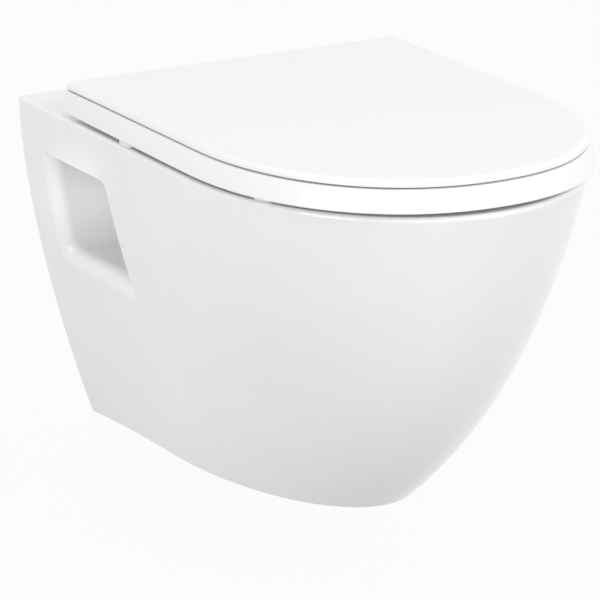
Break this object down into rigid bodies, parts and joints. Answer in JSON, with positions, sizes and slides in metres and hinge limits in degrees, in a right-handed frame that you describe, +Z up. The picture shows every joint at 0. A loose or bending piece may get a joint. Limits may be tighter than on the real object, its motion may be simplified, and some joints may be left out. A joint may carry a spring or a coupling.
{
  "type": "wall hung toilet",
  "caption": "Wall hung toilet pan with a D-shaped seat ring and slim closing lid on a lift-off soft-close hinge, side recesses for its wall fixings, flush inlet and waste spigot at the wall.",
  "frame": {"origin": "midway between the two wall fixing holes, on the wall plane", "axes": "+Z up, +Y into the wall along the fixing studs, the pan reaches out along -Y, +X to the right as seen from the front"},
  "size_m": [0.3596, 0.5412, 0.3497],
  "materials": {
    "china": "gloss",
    "duroplast": "gloss",
    "white_plastic": "satin",
    "grey_plastic": "satin",
    "damper_plastic": "satin",
    "steel": "brushed",
    "spring_steel": "satin",
    "brass": "satin",
    "rubber": "matt",
    "buffer": "satin"
  },
  "bodies": {
    "pan": {"pan": "china", "wall_fixing_sleeves": "grey_plastic", "wall_fixing_washers": "steel", "wall_fixing_nuts": "steel", "wall_fixing_caps": "white_plastic", "post_gaskets": "rubber", "post_base_plates": "steel", "expansion_sleeves": "rubber", "cone_nuts": "brass", "hinge_post_left": "steel", "hinge_post_right": "steel"},
    "hinge_carrier": {"hinge_block_left": "white_plastic", "hinge_block_right": "white_plastic", "seat_hinge_pin": "steel", "lid_hinge_pin": "steel", "lid_damper_shaft": "steel", "seat_damper_shaft": "steel", "button_spring_left": "spring_steel", "button_spring_right": "spring_steel"},
    "button_left": {"release_button_left": "white_plastic"},
    "button_right": {"release_button_right": "white_plastic"},
    "seat": {"seat_ring": "duroplast", "seat_buffers": "buffer", "seat_damper": "damper_plastic"},
    "lid": {"lid": "duroplast", "lid_buffers": "buffer", "lid_damper": "damper_plastic"}
  },
  "joints": [
    {"name": "seat_unit_lift", "type": "slide", "parent": "pan", "child": "hinge_carrier", "axis": [0, 0, 1], "range_m": [0, 0.028]},
    {"name": "seat_hinge", "type": "hinge", "parent": "hinge_carrier", "child": "seat", "pos_m": [0, -0.089, 0.093], "axis": [-1, 0, 0], "range_deg": [0, 95]},
    {"name": "lid_hinge", "type": "hinge", "parent": "seat", "child": "lid", "pos_m": [0, -0.089, 0.093], "axis": [1, 0, 0], "range_deg": [-98, 0]},
    {"name": "release_left", "type": "slide", "parent": "hinge_carrier", "child": "button_left", "axis": [0, -1, 0], "range_m": [0, 0.002], "stiffness_N_per_m": 600, "deforming": ["button_spring_left"]},
    {"name": "release_right", "type": "slide", "parent": "hinge_carrier", "child": "button_right", "axis": [0, -1, 0], "range_m": [0, 0.002], "stiffness_N_per_m": 600, "deforming": ["button_spring_right"]}
  ]
}
